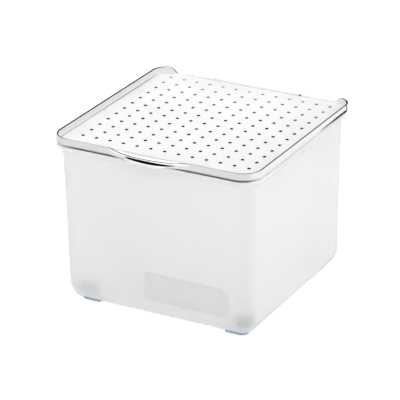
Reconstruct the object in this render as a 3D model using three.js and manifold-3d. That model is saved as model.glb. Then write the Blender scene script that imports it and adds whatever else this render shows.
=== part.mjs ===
// Square fridge bin with a hinged, dotted lid, a label window and corner feet.
// Millimetres, +Z up. Origin: centre of the footprint box, on the surface the
// feet stand on. The finger pull faces the front (-Y), the hinge is at the rear
// (+Y), and right is +X.
import * as THREE from "three";
import { mergeVertices } from "three/addons/utils/BufferGeometryUtils.js";
import Module from "manifold-3d";

const wasm = await Module();
wasm.setup();

// ------------------------------------------------------- driving dimensions
const PANEL_TOP = 203.5; // top face of the lid panel
const LID_PLATE = 2.2; // panel thickness
const PANEL_UNDER = PANEL_TOP - LID_PLATE;
const LID_GAP = 0.4; // lid to flange

// Outline shared by the lid and the bin's flange.
const RIM = { halfX: 133.0, front: -131.0, rear: 132.6, frontR: 24.8, rearR: 22.6 };

const FLANGE_TOP = PANEL_UNDER - LID_GAP;
const FLANGE_LOW = PANEL_TOP - 8.2;
const BASE_Z = 5.8; // underside of the bin
const FLOOR = 3.0; // floor thickness
const WALL = 2.2; // wall thickness

// The wall tapers in a straight line between these two outer sections.
const WALL_TOP = { z: PANEL_TOP - 9, halfX: 126.0, front: -124.1, rear: 126.0, radius: 19.8 };
const WALL_LOW = { z: 19.9, halfX: 122.9, front: -121.0, rear: 122.9, radius: 18.0 };
const MIN_WALL_R = 7; // smallest corner radius of any wall section

// Hinge axis, parallel to X, and the parts along it.
const HINGE_Y = 138.5;
const HINGE_Z = PANEL_TOP - 4.5;
const BARREL_R = 3.5;
const BARREL_HALF = 58.2; // lid barrel, half length
const LUG_IN = 58.9; // bin lugs, inner end
const LUG_OUT = 100.7; // bin lugs, outer end
const PIN_R = 1.4;
const PIN_HALF = 11.5; // pin, half length
const PIN_CENTRE = 58.5;
const PIN_CLEAR = 0.35; // radial
const PIN_END_CLEAR = 0.5;

const CORNER_STEPS = 8;
const BARREL_SIDES = 20;
const BORE_SIDES = 16;

// ------------------------------------------------------------ solid helpers
const toSolid = (geometry, matrix) => {
  let g = geometry.index ? geometry.toNonIndexed() : geometry.clone();
  // Normals and UVs would keep coincident vertices apart.
  g.deleteAttribute("normal");
  g.deleteAttribute("uv");
  if (matrix) g.applyMatrix4(matrix);
  g = mergeVertices(g, 1e-4);
  return new wasm.Manifold(
    new wasm.Mesh({
      numProp: 3,
      vertProperties: new Float32Array(g.attributes.position.array),
      triVerts: new Uint32Array(g.index.array),
    }),
  );
};

const toGeometry = (solid) => {
  const mesh = solid.getMesh();
  const g = new THREE.BufferGeometry();
  g.setAttribute("position", new THREE.BufferAttribute(new Float32Array(mesh.vertProperties), 3));
  g.setIndex(new THREE.BufferAttribute(new Uint32Array(mesh.triVerts), 1));
  g.computeVertexNormals();
  return g;
};

// Arc as [x, y] points; angles in degrees.
const arc = (cx, cy, radius, from, to, steps) => {
  const points = [];
  for (let k = 0; k <= steps; k++) {
    const a = ((from + ((to - from) * k) / steps) * Math.PI) / 180;
    points.push([cx + radius * Math.cos(a), cy + radius * Math.sin(a)]);
  }
  return points;
};

// Counter-clockwise rounded rectangle at height z, centred on x = 0.
const ring = ({ halfX, front, rear, frontR, rearR }, z) =>
  [
    ...arc(halfX - rearR, rear - rearR, rearR, 0, 90, CORNER_STEPS),
    ...arc(-halfX + rearR, rear - rearR, rearR, 90, 180, CORNER_STEPS),
    ...arc(-halfX + frontR, front + frontR, frontR, 180, 270, CORNER_STEPS),
    ...arc(halfX - frontR, front + frontR, frontR, 270, 360, CORNER_STEPS),
  ].map(([x, y]) => new THREE.Vector3(x, y, z));

// Closed solid through a stack of rings, lowest first, with fan caps.
const loft = (rings) => {
  const n = rings[0].length;
  const positions = rings.flat().flatMap((p) => [p.x, p.y, p.z]);
  const indices = [];
  for (let k = 0; k + 1 < rings.length; k++)
    for (let i = 0; i < n; i++) {
      const j = (i + 1) % n;
      const low = k * n;
      const high = low + n;
      indices.push(low + i, low + j, high + j);
      indices.push(low + i, high + j, high + i);
    }
  const cap = (points, base, facesUp) => {
    const sum = points.reduce((total, p) => total.add(p), new THREE.Vector3());
    const middle = sum.divideScalar(n);
    const centre = positions.length / 3;
    positions.push(middle.x, middle.y, middle.z);
    for (let i = 0; i < n; i++) {
      const j = (i + 1) % n;
      if (facesUp) indices.push(base + i, base + j, centre);
      else indices.push(base + j, base + i, centre);
    }
  };
  cap(rings[0], 0, false);
  cap(rings[rings.length - 1], (rings.length - 1) * n, true);
  const g = new THREE.BufferGeometry();
  g.setAttribute("position", new THREE.Float32BufferAttribute(positions, 3));
  g.setIndex(indices);
  return toSolid(g);
};

// Matrix that lays a geometry's Y axis along X and centres it at (x, y, z).
const alongX = (x, y, z) => new THREE.Matrix4().makeRotationZ(Math.PI / 2).setPosition(x, y, z);

// Cylinder on the hinge axis from x0 to x1.
const hingeRod = ([x0, x1], radius, sides) =>
  toSolid(
    new THREE.CylinderGeometry(radius, radius, x1 - x0, sides),
    alongX((x0 + x1) / 2, HINGE_Y, HINGE_Z),
  );

const hingeBore = (span) => hingeRod(span, PIN_R + PIN_CLEAR, BORE_SIDES);

// Span [x0, x1] between two distances from the middle, on one side.
const sideSpan = (side, near, far) => (side > 0 ? [near, far] : [-far, -near]);

const prism = (outline, depth, matrix) => {
  const shape = new THREE.Shape(outline.map(([a, b]) => new THREE.Vector2(a, b)));
  return toSolid(new THREE.ExtrudeGeometry(shape, { depth, bevelEnabled: false }), matrix);
};

const X_AXIS = new THREE.Vector3(1, 0, 0);
const Y_AXIS = new THREE.Vector3(0, 1, 0);
const Z_AXIS = new THREE.Vector3(0, 0, 1);

// Prism along X from [y, z] points.
const prismX = (profile, [x0, x1]) => {
  const matrix = new THREE.Matrix4().makeBasis(Y_AXIS, Z_AXIS, X_AXIS);
  return prism(profile, x1 - x0, matrix.setPosition(x0, 0, 0));
};

// Prism along Y from [x, z] points.
const prismY = (profile, [y0, y1]) => {
  const matrix = new THREE.Matrix4().makeBasis(X_AXIS, Z_AXIS, new THREE.Vector3(0, -1, 0));
  return prism(profile, y1 - y0, matrix.setPosition(0, y1, 0));
};

// Prism along Z from [x, y] points.
const prismZ = (outline, [z0, z1]) =>
  prism(outline, z1 - z0, new THREE.Matrix4().makeTranslation(0, 0, z0));

// ----------------------------------------------------------------- sections
// Outer section of the bin wall at height z, extrapolated past both ends.
const wallAt = (z) => {
  const t = (z - WALL_TOP.z) / (WALL_LOW.z - WALL_TOP.z);
  const mix = (key) => WALL_TOP[key] + (WALL_LOW[key] - WALL_TOP[key]) * t;
  return { halfX: mix("halfX"), front: mix("front"), rear: mix("rear"), radius: mix("radius") };
};

const wallRing = (z, inset, section = wallAt(z)) => {
  const radius = Math.max(section.radius - inset, MIN_WALL_R);
  const outline = {
    halfX: section.halfX - inset,
    front: section.front + inset,
    rear: section.rear - inset,
    frontR: radius,
    rearR: radius,
  };
  return ring(outline, z);
};

const rimRing = (z, inset) => {
  const outline = {
    halfX: RIM.halfX - inset,
    front: RIM.front + inset,
    rear: RIM.rear - inset,
    frontR: RIM.frontR - inset,
    rearR: RIM.rearR - inset,
  };
  return ring(outline, z);
};

// Rings from a table of [height above z0, inset].
const stack = (ringAt, z0, stations) => stations.map(([dz, inset]) => ringAt(z0 + dz, inset));

// --------------------------------------------------------------------- feet
const FOOT_OUT_X = 110.0; // outer side faces
const FOOT_FRONT = -107.8; // front faces of the front feet
const FOOT_REAR = 108.8; // rear faces of the rear feet
const FOOT_LEG = 26.8; // leg length from the outer corner
const FOOT_WIDTH = 10;
const FOOT_R = 8.5; // outer corner
const FOOT_INNER_R = 2.5; // inner corner
const FOOT_END_R = 2.5; // corners of the leg ends
const FOOT_POCKET = 1.4; // depth of the pocket in the bin's base
const FOOT_SIDE_CLEAR = 0.4;
const FOOT_TOP_CLEAR = 0.35;
const TREAD_INSET = 0.5; // narrower bottom step of the foot
const TREAD_Z = [0, 1.2];
const PAD_LOW = 0.7; // underside of the full-width part

// L-shaped pad in its local frame: outer corner at (0, 0), legs along -X and +Y
// (the front right pad).
const footOutline = (grow) => {
  const legEnd = FOOT_LEG + grow;
  const width = FOOT_WIDTH + grow;
  const innerR = FOOT_INNER_R - grow;
  const endArc = (cx, cy, from) => arc(cx, cy, FOOT_END_R, from, from + 90, 3);
  return [
    ...arc(-FOOT_R, FOOT_R, FOOT_R + grow, -90, 0, 8),
    ...endArc(grow - FOOT_END_R, legEnd - FOOT_END_R, 0),
    ...endArc(-width + FOOT_END_R, legEnd - FOOT_END_R, 90),
    ...arc(-width - innerR, width + innerR, innerR, 0, -90, 4),
    ...endArc(-legEnd + FOOT_END_R, width - FOOT_END_R, 90),
    ...endArc(-legEnd + FOOT_END_R, -grow + FOOT_END_R, 180),
  ];
};

// Outline moved to a corner; sideX and sideY are -1 or 1. A single mirroring
// turns the outline clockwise, so its order is reversed.
const placedFoot = (grow, sideX, sideY) => {
  const outerY = sideY < 0 ? FOOT_FRONT : FOOT_REAR;
  const points = footOutline(grow).map(([x, y]) => [sideX * (FOOT_OUT_X + x), outerY - sideY * y]);
  return sideX * sideY < 0 ? points : points.reverse();
};

const buildFoot = (sideX, sideY) => {
  const tread = prismZ(placedFoot(-TREAD_INSET, sideX, sideY), TREAD_Z);
  const padZ = [PAD_LOW, BASE_Z + FOOT_POCKET - FOOT_TOP_CLEAR];
  return tread.add(prismZ(placedFoot(0, sideX, sideY), padZ));
};

const footPocket = (sideX, sideY) =>
  prismZ(placedFoot(FOOT_SIDE_CLEAR, sideX, sideY), [BASE_Z - 1, BASE_Z + FOOT_POCKET]);

// -------------------------------------------------------------------- label
// Edges and corner radii; the plate lies in the sloping front wall.
const LABEL = { left: -13.4, right: 95.4, low: 26.2, high: 60.9, leftR: 3.6, rightR: 10 };
const LABEL_THICK = 0.7;
const LABEL_DEPTH = 0.9; // depth of the recess in the wall
const LABEL_CLEAR = 0.35; // around and behind the panel

// Plate with its edges moved out by grow, between two distances outwards from
// the wall's outer face.
const labelPlate = (grow, near, far) => {
  const rise = WALL_TOP.z - WALL_LOW.z;
  const upWall = new THREE.Vector3(0, WALL_TOP.front - WALL_LOW.front, rise).normalize();
  const outward = new THREE.Vector3().crossVectors(X_AXIS, upWall);
  const matrix = new THREE.Matrix4().makeBasis(X_AXIS, upWall, outward);
  matrix.setPosition(0, WALL_LOW.front, WALL_LOW.z);
  matrix.multiply(new THREE.Matrix4().makeTranslation(0, 0, near));

  const left = LABEL.left - grow;
  const right = LABEL.right + grow;
  const low = (LABEL.low - WALL_LOW.z) / upWall.z - grow;
  const high = (LABEL.high - WALL_LOW.z) / upWall.z + grow;
  const leftR = LABEL.leftR + grow;
  const rightR = LABEL.rightR + grow;
  const shape = new THREE.Shape();
  shape.moveTo(left + leftR, low);
  shape.lineTo(right - rightR, low);
  shape.absarc(right - rightR, low + rightR, rightR, -Math.PI / 2, 0, false);
  shape.lineTo(right, high - rightR);
  shape.absarc(right - rightR, high - rightR, rightR, 0, Math.PI / 2, false);
  shape.lineTo(left + leftR, high);
  shape.absarc(left + leftR, high - leftR, leftR, Math.PI / 2, Math.PI, false);
  shape.lineTo(left, low + leftR);
  shape.absarc(left + leftR, low + leftR, leftR, Math.PI, 1.5 * Math.PI, false);
  const options = { depth: far - near, bevelEnabled: false, curveSegments: 6 };
  return toSolid(new THREE.ExtrudeGeometry(shape, options), matrix);
};

const buildLabel = () => {
  const back = -LABEL_DEPTH + LABEL_CLEAR;
  return labelPlate(0, back, back + LABEL_THICK);
};

// ----------------------------------------------------------------- bin body
// Rounded base, tapered wall, then the flange.
const binOuter = () =>
  loft([
    ...stack(wallRing, BASE_Z, [
      [0, 9.0], [0.7, 7.0], [2.9, 4.8], [8.4, 2.6], [9.0, 1.6], [15.0, 0],
    ]),
    wallRing(WALL_TOP.z, 0),
    ...stack(rimRing, FLANGE_LOW, [[0, 4.0], [1.6, 0.6], [2.6, 0]]),
    ...stack(rimRing, FLANGE_TOP, [[-1.4, 0], [-0.4, 0.6], [0, 1.8]]),
  ]);

const binInner = () =>
  loft([
    ...stack(wallRing, BASE_Z + FLOOR, [
      [0, 12.5], [0.8, 9.6], [3.2, 7.0], [8.6, 4.6], [14, WALL],
    ]),
    wallRing(FLANGE_TOP + 5, WALL), // past the mouth, to cut it open
  ]);

// Hinge lug on the rear flange: a barrel with a web into the flange.
const lug = (side) => {
  const span = sideSpan(side, LUG_IN, LUG_OUT);
  const web = prismX(
    [
      [RIM.rear - 2, FLANGE_LOW + 1.0],
      [HINGE_Y + 0.6, HINGE_Z - BARREL_R + 0.05],
      [HINGE_Y + 0.6, HINGE_Z + 1.0],
      [HINGE_Y - 1.8, HINGE_Z + 1.6],
      [RIM.rear - 2, FLANGE_TOP - 1.0],
    ],
    span,
  );
  return hingeRod(span, BARREL_R, BARREL_SIDES).add(web);
};

const lugBore = (side) =>
  hingeBore(sideSpan(side, PIN_CENTRE, PIN_CENTRE + PIN_HALF + PIN_END_CLEAR));

const buildBin = () => {
  let bin = binOuter().add(lug(1)).add(lug(-1)).subtract(binInner());
  bin = bin.subtract(lugBore(1)).subtract(lugBore(-1));
  for (const sideX of [-1, 1])
    for (const sideY of [-1, 1]) bin = bin.subtract(footPocket(sideX, sideY));
  return bin.subtract(labelPlate(LABEL_CLEAR, -LABEL_DEPTH, 2));
};

// ---------------------------------------------------------------------- lid
const BORDER_TOP = PANEL_TOP + 8.5; // top of the raised border
const BORDER = 3.4; // inset of the border's inner face from the rim outline
const LID_INSET = 0.5; // lid outline inside the flange outline

const lidOuter = () =>
  loft([
    ...stack(rimRing, PANEL_UNDER, [
      [0, LID_INSET + 1.6], [0.4, LID_INSET + 0.7], [1.4, LID_INSET],
    ]),
    ...stack(rimRing, BORDER_TOP, [
      [-0.8, LID_INSET], [-0.2, LID_INSET + 0.3], [0, LID_INSET + 0.9],
    ]),
  ]);

// Space inside the border, above the panel.
const lidTray = () =>
  loft([
    ...stack(rimRing, PANEL_TOP, [[0, BORDER + 1.7], [1.6, BORDER + 0.6]]),
    ...stack(rimRing, BORDER_TOP, [[-0.6, BORDER], [0, BORDER - 0.3], [3, BORDER - 0.3]]),
  ]);

// The border is left out at the back, between two sloping ends.
const rearOpening = () =>
  prismY(
    [
      [-105, PANEL_TOP],
      [105, PANEL_TOP],
      [116, BORDER_TOP + 1],
      [-116, BORDER_TOP + 1],
    ],
    [RIM.rear - 12, RIM.rear + 5],
  );

// Finger pull: the front border bows outwards, with its own shallow floor.
const LIP_HALF = 53; // half length
const LIP_OUT = 11.0; // bulge of the outer face beyond the rim outline
const LIP_IN = 11.9; // bulge of the inner face
const LIP_UNDER = PANEL_TOP + 1.9;
const LIP_FLOOR = PANEL_TOP + 7.6;
const LIP_STEPS = 26;

const lipBow = (x, bulge) => {
  const t = Math.min(1, Math.abs(x) / LIP_HALF);
  return bulge * (1 - t ** 2.5) ** 1.15;
};

// Bowed front edge, inset from the rim outline, closed by a straight back edge.
const lipOutline = (inset, bulge, backY) => {
  const points = [];
  for (let k = 0; k <= LIP_STEPS; k++) {
    const x = -LIP_HALF + (2 * LIP_HALF * k) / LIP_STEPS;
    points.push([x, RIM.front + inset - lipBow(x, bulge)]);
  }
  points.push([LIP_HALF, backY], [-LIP_HALF, backY]);
  return points;
};

const lipBlock = () => {
  const outline = lipOutline(LID_INSET, LIP_OUT + LID_INSET, RIM.front + BORDER - 0.2);
  return prismZ(outline, [LIP_UNDER, BORDER_TOP]);
};

const lipPocket = () =>
  prismZ(lipOutline(BORDER, LIP_IN, RIM.front + BORDER + 3), [LIP_FLOOR, BORDER_TOP + 2]);

// Grid of tapered six-sided dots on the panel.
const DOTS = { cols: 13, rows: 12, pitchX: 18, pitchY: 19, centreY: 11.4 };
const DOT_R = 2.0;
const DOT_TOP_R = DOT_R * 0.62;
const DOT_HEIGHT = 0.7;
const DOT_SINK = 0.4; // depth sunk into the panel
const DOT_SIDES = 6;

const dotGrid = () => {
  const length = DOT_HEIGHT + DOT_SINK;
  const geometry = new THREE.CylinderGeometry(DOT_TOP_R, DOT_R, length, DOT_SIDES);
  const matrix = new THREE.Matrix4().makeRotationX(Math.PI / 2);
  const dots = [];
  for (let i = 0; i < DOTS.cols; i++)
    for (let j = 0; j < DOTS.rows; j++) {
      const x = (i - (DOTS.cols - 1) / 2) * DOTS.pitchX;
      const y = (j - (DOTS.rows - 1) / 2) * DOTS.pitchY + DOTS.centreY;
      matrix.setPosition(x, y, PANEL_TOP + DOT_HEIGHT - length / 2);
      dots.push(toSolid(geometry, matrix));
    }
  return dots.reduce((a, b) => a.add(b));
};

// Locating rib that drops inside the bin's mouth.
const rib = () => {
  const mouth = wallAt(PANEL_TOP - 5);
  // The second column is the gap to the wall's inner face.
  const ribRing = (z, gap) => wallRing(z, WALL + gap, mouth);
  const outer = loft([
    ...stack(ribRing, PANEL_UNDER, [[-5, 1.6], [-4, 1.2]]),
    ribRing(PANEL_TOP - 1, 1.2),
  ]);
  return outer.subtract(loft(stack(ribRing, PANEL_UNDER, [[-6, 3.0], [0, 2.8]])));
};

// Central hinge barrel with its web into the panel.
const barrel = () => {
  const span = [-BARREL_HALF, BARREL_HALF];
  const web = prismX(
    [
      [RIM.rear - 3, PANEL_UNDER + 0.1],
      [HINGE_Y - 2.6, PANEL_UNDER + 0.1],
      [HINGE_Y - 2.4, HINGE_Z + 1],
      [HINGE_Y + 1.2, HINGE_Z + 1],
      [HINGE_Y + 0.9, PANEL_TOP - 1.5],
      [HINGE_Y - 1.0, PANEL_TOP - 0.35],
      [RIM.rear - 3, PANEL_TOP - 0.35],
    ],
    span,
  );
  return hingeRod(span, BARREL_R, BARREL_SIDES).add(web);
};

const barrelBore = (side) =>
  hingeBore(sideSpan(side, PIN_CENTRE - PIN_HALF - PIN_END_CLEAR, BARREL_HALF + 1));

const buildLid = () =>
  lidOuter()
    .add(lipBlock())
    .subtract(lidTray())
    .subtract(lipPocket())
    .subtract(rearOpening())
    .add(rib())
    .add(barrel())
    .add(dotGrid())
    .subtract(barrelBore(1))
    .subtract(barrelBore(-1));

// --------------------------------------------------------------------- pins
const PIN_CHAMFER = 0.3;

const buildPin = (side) => {
  // [radius, distance along the pin]
  const profile = [
    [0, -PIN_HALF],
    [PIN_R - PIN_CHAMFER, -PIN_HALF],
    [PIN_R, -PIN_HALF + PIN_CHAMFER],
    [PIN_R, PIN_HALF - PIN_CHAMFER],
    [PIN_R - PIN_CHAMFER, PIN_HALF],
    [0, PIN_HALF],
  ].map(([radius, along]) => new THREE.Vector2(radius, along));
  return toSolid(
    new THREE.LatheGeometry(profile, BARREL_SIDES),
    alongX(side * PIN_CENTRE, HINGE_Y, HINGE_Z),
  );
};

// ---------------------------------------------------------------- materials
const standard = (options) => new THREE.MeshStandardMaterial({ metalness: 0, ...options });

const frosted = standard({ color: 0xeef0f1, roughness: 0.42, transparent: true, opacity: 0.78 });
const clear = standard({ color: 0xf7f9fa, roughness: 0.08, transparent: true, opacity: 0.45 });
const pad = standard({ color: 0x8fa9c4, roughness: 0.55 });
const film = standard({ color: 0xd3d4d5, roughness: 0.5, transparent: true, opacity: 0.85 });
const steel = standard({ color: 0xb5b8bb, roughness: 0.3, metalness: 1 });

// ----------------------------------------------------------------- assembly
const part = new THREE.Group();
const addMesh = (name, solid, material) => {
  const mesh = new THREE.Mesh(toGeometry(solid), material);
  mesh.name = name;
  part.add(mesh);
};

addMesh("bin_body", buildBin(), frosted);
addMesh("lid", buildLid(), clear);
addMesh("hinge_pin_left", buildPin(-1), steel);
addMesh("hinge_pin_right", buildPin(1), steel);
addMesh("label_panel", buildLabel(), film);
for (const [endName, sideY] of [["front", -1], ["rear", 1]])
  for (const [sideName, sideX] of [["left", -1], ["right", 1]])
    addMesh(`foot_${endName}_${sideName}`, buildFoot(sideX, sideY), pad);

export default part;
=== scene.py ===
import math

import bmesh
import bpy
import numpy as np
from mathutils import Matrix, Vector


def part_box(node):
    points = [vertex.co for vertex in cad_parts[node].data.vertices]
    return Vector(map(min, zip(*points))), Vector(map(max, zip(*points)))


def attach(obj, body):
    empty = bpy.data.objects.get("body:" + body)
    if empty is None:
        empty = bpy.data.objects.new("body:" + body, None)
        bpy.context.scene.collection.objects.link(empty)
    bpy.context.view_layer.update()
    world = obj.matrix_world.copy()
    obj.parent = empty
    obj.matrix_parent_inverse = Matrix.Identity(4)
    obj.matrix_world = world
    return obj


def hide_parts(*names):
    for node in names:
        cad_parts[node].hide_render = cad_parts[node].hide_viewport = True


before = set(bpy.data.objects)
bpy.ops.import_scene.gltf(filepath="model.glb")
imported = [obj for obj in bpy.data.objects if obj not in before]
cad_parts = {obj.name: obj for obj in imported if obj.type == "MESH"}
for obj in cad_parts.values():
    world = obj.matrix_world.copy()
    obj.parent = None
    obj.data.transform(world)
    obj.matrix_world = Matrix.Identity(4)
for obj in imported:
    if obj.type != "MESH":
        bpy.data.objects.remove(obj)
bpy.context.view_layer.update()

MM = 0.001

# ------------------------------------------------------------------ dimensions
# Millimetres, in the frame of the imported model. Heights, the half width and the front
# edge are read from the imported nodes, and the rest are the design's own sizes.
lid_lo, lid_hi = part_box("lid")
tub_lo, tub_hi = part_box("bin_body")
RIM_HEIGHT = 8.5
H = lid_hi.z / MM - RIM_HEIGHT  # top of the lid panel
HALF = tub_hi.x / MM  # half width of flange
FRONT = tub_lo.y / MM  # front edge of the flange
REAR = FRONT + 263.6
RF, RR = 24.8, 22.6  # outline corner radii
LID_INSET = 0.5
LID_PLATE = 2.2
RIM_WALL = 3.4
LIP_HALF, LIP_OUT, LIP_IN, LIP_UNDER = 53.0, 11.0, 11.9, 1.9
FLANGE_TOP = H - 2.6
BASE = tub_lo.z / MM
WALL = 2.2
CY = FRONT + 142.4  # middle of the dot grid
W_TOP = dict(z=H - 9.0, hx=126.0, yf=CY - 135.5, yr=CY + 114.6, r=19.8)
W_LOW = dict(z=H - 183.6, hx=122.9, yf=CY - 132.4, yr=CY + 111.5, r=18.0)
HINGE_Y = CY + 127.1
HINGE_Z = H - 4.5
BARREL_R, BARREL_HALF = 3.5, 58.2
LUG_IN, LUG_OUT = 58.9, 100.7
PIN_R, PIN_HALF, PIN_C = 1.4, 11.5, 58.5
DOT_NX, DOT_NY, DOT_PX, DOT_PY = 13, 12, 18.0, 19.0
FOOT_OUT, FOOT_LEG, FOOT_W, FOOT_R = 110.0, 26.8, 10.0, 8.5
FOOT_FRONT, FOOT_REAR = CY - 119.2, CY + 97.4
LABEL = dict(x0=-13.4, x1=95.4, z0=H - 177.3, z1=H - 142.6, rl=3.6, rr=10.0)

ARC = 20


# ---------------------------------------------------------------- mesh helpers
def new_object(name, verts_mm, faces):
    me = bpy.data.meshes.new(name)
    me.from_pydata([tuple(c * MM for c in v) for v in verts_mm], [], faces)
    me.validate()
    me.update()
    ob = bpy.data.objects.new(name, me)
    bpy.context.scene.collection.objects.link(ob)
    return ob


def boolean(ob, others, op):
    for other in others:
        m = ob.modifiers.new("b", "BOOLEAN")
        m.operation = op
        m.object = other
        m.solver = "MANIFOLD"
    dg = bpy.context.evaluated_depsgraph_get()
    me = bpy.data.meshes.new_from_object(ob.evaluated_get(dg))
    ob.modifiers.clear()
    old = ob.data
    ob.data = me
    bpy.data.meshes.remove(old)
    for other in others:
        data = other.data
        bpy.data.objects.remove(other)
        if data.users == 0:
            bpy.data.meshes.remove(data)
    return ob


def join(obs, name):
    """Separate closed shells in one mesh, used as one operand of a boolean."""
    bm = bmesh.new()
    for ob in obs:
        bm.from_mesh(ob.data)
        data = ob.data
        bpy.data.objects.remove(ob)
        bpy.data.meshes.remove(data)
    me = bpy.data.meshes.new(name)
    bm.to_mesh(me)
    bm.free()
    out = bpy.data.objects.new(name, me)
    bpy.context.scene.collection.objects.link(out)
    return out


def finish_mesh(ob, angle=28.0, flat_z=()):
    """Merge doubles, orient the faces out, and keep crisp edges crisp."""
    bm = bmesh.new()
    bm.from_mesh(ob.data)
    bmesh.ops.remove_doubles(bm, verts=bm.verts, dist=2e-6)
    bmesh.ops.dissolve_degenerate(bm, dist=1e-6, edges=bm.edges)
    bmesh.ops.recalc_face_normals(bm, faces=bm.faces)
    limit = math.radians(angle)
    for f in bm.faces:
        f.smooth = True

    def plane_of(f):
        if abs(abs(f.normal.z) - 1.0) > 2e-5:
            return None
        z = f.calc_center_median().z
        for k, zz in enumerate(flat_z):
            if abs(z - zz * MM) < 2e-5:
                return k
        return None

    planes = {f.index: plane_of(f) for f in bm.faces}
    for e in bm.edges:
        if len(e.link_faces) != 2:
            e.smooth = False
            continue
        a, b = e.link_faces
        ang = e.calc_face_angle(0.0)
        if ang > limit:
            e.smooth = False
        elif planes[a.index] != planes[b.index] and ang > math.radians(0.5):
            e.smooth = False
    bm.to_mesh(ob.data)
    bm.free()
    ob.data.update()
    return ob


def straight(n, focus=()):
    """Stations from -1 to 1, closer together near both ends and near each focus."""
    base = set(np.round(np.linspace(-1, 1, n + 1), 6))
    base |= {-0.994, 0.994}
    for f, w, k in focus:
        base |= set(np.round(np.linspace(f - w, f + w, k + 1), 6))
    return sorted(b for b in base if -1 <= b <= 1)


F_STATIONS = straight(12)
R_STATIONS = straight(12)
S_STATIONS = straight(10)


class Outline:
    """One topology of rounded rectangle, shared by every ring of a lofted piece."""

    def __init__(self, front, side, rear, arc):
        self.front, self.side, self.rear, self.arc = front, side, rear, arc

    def points(self, hx, yf, yr, rf, rr):
        out = []
        for t in self.front:
            out.append((t * (hx - rf), yf))
        for k in range(1, self.arc):
            a = math.radians(-90 + 90 * k / self.arc)
            out.append((hx - rf + rf * math.cos(a), yf + rf + rf * math.sin(a)))
        ym, yh = (yf + rf + yr - rr) / 2, (yr - rr - yf - rf) / 2
        for t in self.side:
            out.append((hx, ym + t * yh))
        for k in range(1, self.arc):
            a = math.radians(90 * k / self.arc)
            out.append((hx - rr + rr * math.cos(a), yr - rr + rr * math.sin(a)))
        for t in reversed(self.rear):
            out.append((t * (hx - rr), yr))
        for k in range(1, self.arc):
            a = math.radians(90 + 90 * k / self.arc)
            out.append((-hx + rr + rr * math.cos(a), yr - rr + rr * math.sin(a)))
        for t in reversed(self.side):
            out.append((-hx, ym + t * yh))
        for k in range(1, self.arc):
            a = math.radians(180 + 90 * k / self.arc)
            out.append((-hx + rf + rf * math.cos(a), yf + rf + rf * math.sin(a)))
        return out


def loft(name, rings):
    """Closed mesh from rings of equal length, capped by a face at each end."""
    n = len(rings[0])
    verts = [p for r in rings for p in r]
    faces = []
    for k in range(len(rings) - 1):
        for i in range(n):
            j = (i + 1) % n
            faces.append((k * n + i, k * n + j, (k + 1) * n + j, (k + 1) * n + i))
    faces.append(tuple(reversed(range(n))))
    faces.append(tuple(range((len(rings) - 1) * n, len(rings) * n)))
    ob = new_object(name, verts, faces)
    bm = bmesh.new()
    bm.from_mesh(ob.data)
    bmesh.ops.recalc_face_normals(bm, faces=bm.faces)
    bm.to_mesh(ob.data)
    bm.free()
    return ob


def turned(name, profile, centre, axis="X", sides=32):
    """Closed turned solid. Profile is a list of (distance along the axis, radius)."""
    verts, faces = [], []
    for s, r in profile:
        for k in range(sides):
            a = 2 * math.pi * k / sides
            u, v = r * math.cos(a), r * math.sin(a)
            if axis == "X":
                verts.append((centre[0] + s, centre[1] + u, centre[2] + v))
            else:
                verts.append((centre[0] + u, centre[1] + v, centre[2] + s))
    for p in range(len(profile) - 1):
        for k in range(sides):
            j = (k + 1) % sides
            faces.append((p * sides + k, p * sides + j, (p + 1) * sides + j, (p + 1) * sides + k))
    faces.append(tuple(reversed(range(sides))))
    faces.append(tuple((len(profile) - 1) * sides + k for k in range(sides)))
    ob = new_object(name, verts, faces)
    bm = bmesh.new()
    bm.from_mesh(ob.data)
    bmesh.ops.recalc_face_normals(bm, faces=bm.faces)
    bm.to_mesh(ob.data)
    bm.free()
    return ob


def rod(name, x0, x1, y, z, r, sides=32, chamfer=0.35):
    c = min(chamfer, abs(x1 - x0) / 4)
    prof = [(x0, r - c), (x0 + c * 0.3, r - c * 0.3), (x0 + c, r), (x1 - c, r), (x1 - c * 0.3, r - c * 0.3), (x1, r - c)]
    return turned(name, prof, (0, y, z), "X", sides)


def prism_x(name, profile_yz, x0, x1):
    n = len(profile_yz)
    verts = [(x0, y, z) for y, z in profile_yz] + [(x1, y, z) for y, z in profile_yz]
    faces = [(i, (i + 1) % n, n + (i + 1) % n, n + i) for i in range(n)]
    faces += [tuple(reversed(range(n))), tuple(range(n, 2 * n))]
    ob = new_object(name, verts, faces)
    bm = bmesh.new()
    bm.from_mesh(ob.data)
    bmesh.ops.recalc_face_normals(bm, faces=bm.faces)
    bm.to_mesh(ob.data)
    bm.free()
    return ob


# -------------------------------------------------------------------- the tub
tub_outline = Outline(F_STATIONS, S_STATIONS, R_STATIONS, ARC)


def wall_spec(z, inset):
    s = (z - W_TOP["z"]) / (W_LOW["z"] - W_TOP["z"])
    mix = lambda k: W_TOP[k] + (W_LOW[k] - W_TOP[k]) * s
    r = max(mix("r") - inset, 6.0)
    return (mix("hx") - inset, mix("yf") + inset, mix("yr") - inset, r, r)


def rim_spec(inset):
    return (HALF - inset, FRONT + inset, REAR - inset, RF - inset, RR - inset)


def mix_spec(a, b, t):
    return tuple(p + (q - p) * t for p, q in zip(a, b))


def ring(outline, spec, z):
    return [(x, y, z) for x, y in outline.points(*spec)]


rings = []
add = lambda spec, z: rings.append(ring(tub_outline, spec, z))
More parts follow.
